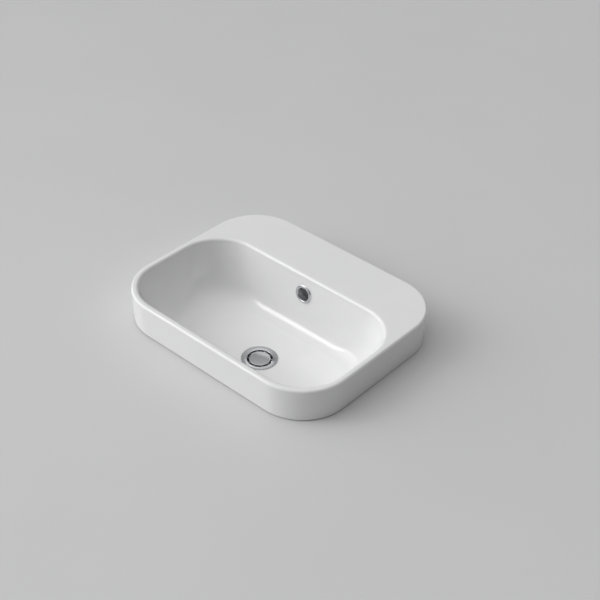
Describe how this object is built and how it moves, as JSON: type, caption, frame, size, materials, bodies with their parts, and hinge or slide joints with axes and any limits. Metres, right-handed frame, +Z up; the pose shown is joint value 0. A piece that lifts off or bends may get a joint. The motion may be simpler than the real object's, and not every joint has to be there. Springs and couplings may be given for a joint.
{
  "type": "inset basin",
  "caption": "Inset china basin with a raised rounded rim, rear deck, deep sloping bowl, overflow ring and a push-down plug waste on a threaded tail.",
  "frame": {"origin": "middle of the rim's outline in the plane of the counter top, on which the bedding seal rests", "axes": "+X along the width to the user's right, +Y from the user to the wall, +Z up"},
  "size_m": [0.4996, 0.3996, 0.2145],
  "materials": {
    "china": "high-gloss white glaze over vitreous china",
    "silicone": "cured neutral silicone bedding",
    "chrome": "bright chrome plate",
    "satin_chrome": "satin chrome plate",
    "black_rubber": "moulded nitrile rubber",
    "foam": "closed-cell foam washer",
    "white_nylon": "moulded acetal",
    "grey_nylon": "moulded nylon",
    "brass": "bare turned brass",
    "spring_steel": "drawn stainless wire"
  },
  "bodies": {
    "root": {"basin_body": "china", "rim_seal": "silicone", "overflow_ring": "chrome", "overflow_sleeve": "grey_nylon", "waste_body": "satin_chrome", "flange_gasket": "foam", "tail_seal": "black_rubber", "slip_washer": "white_nylon", "backnut": "brass", "outlet_adapter": "satin_chrome", "adapter_washer": "black_rubber", "cartridge_housing": "brass", "cartridge_cap": "white_nylon", "cartridge_locknut": "brass", "return_spring": "spring_steel"},
    "plug": {"plug_cap": "satin_chrome", "plug_seal": "black_rubber", "seal_retainer": "white_nylon", "plunger": "brass"},
    "cam": {"latch_cam": "white_nylon"}
  },
  "joints": [
    {"name": "plug_press", "type": "slide", "parent": "root", "child": "plug", "axis": [0, 0, 1], "range_m": [-0.0055, 0], "stiffness_N_per_m": 400, "springref_m": 0.008, "deforming": ["return_spring"]},
    {"name": "cam_turn", "type": "hinge", "parent": "plug", "child": "cam", "pos_m": [0, -0.05, -0.0787], "axis": [0, 0, 1], "range_deg": [0, 45]}
  ],
  "couplings": [
    {"joint": "cam_turn", "follows": "plug_press", "rad_per_m": -142.5}
  ]
}
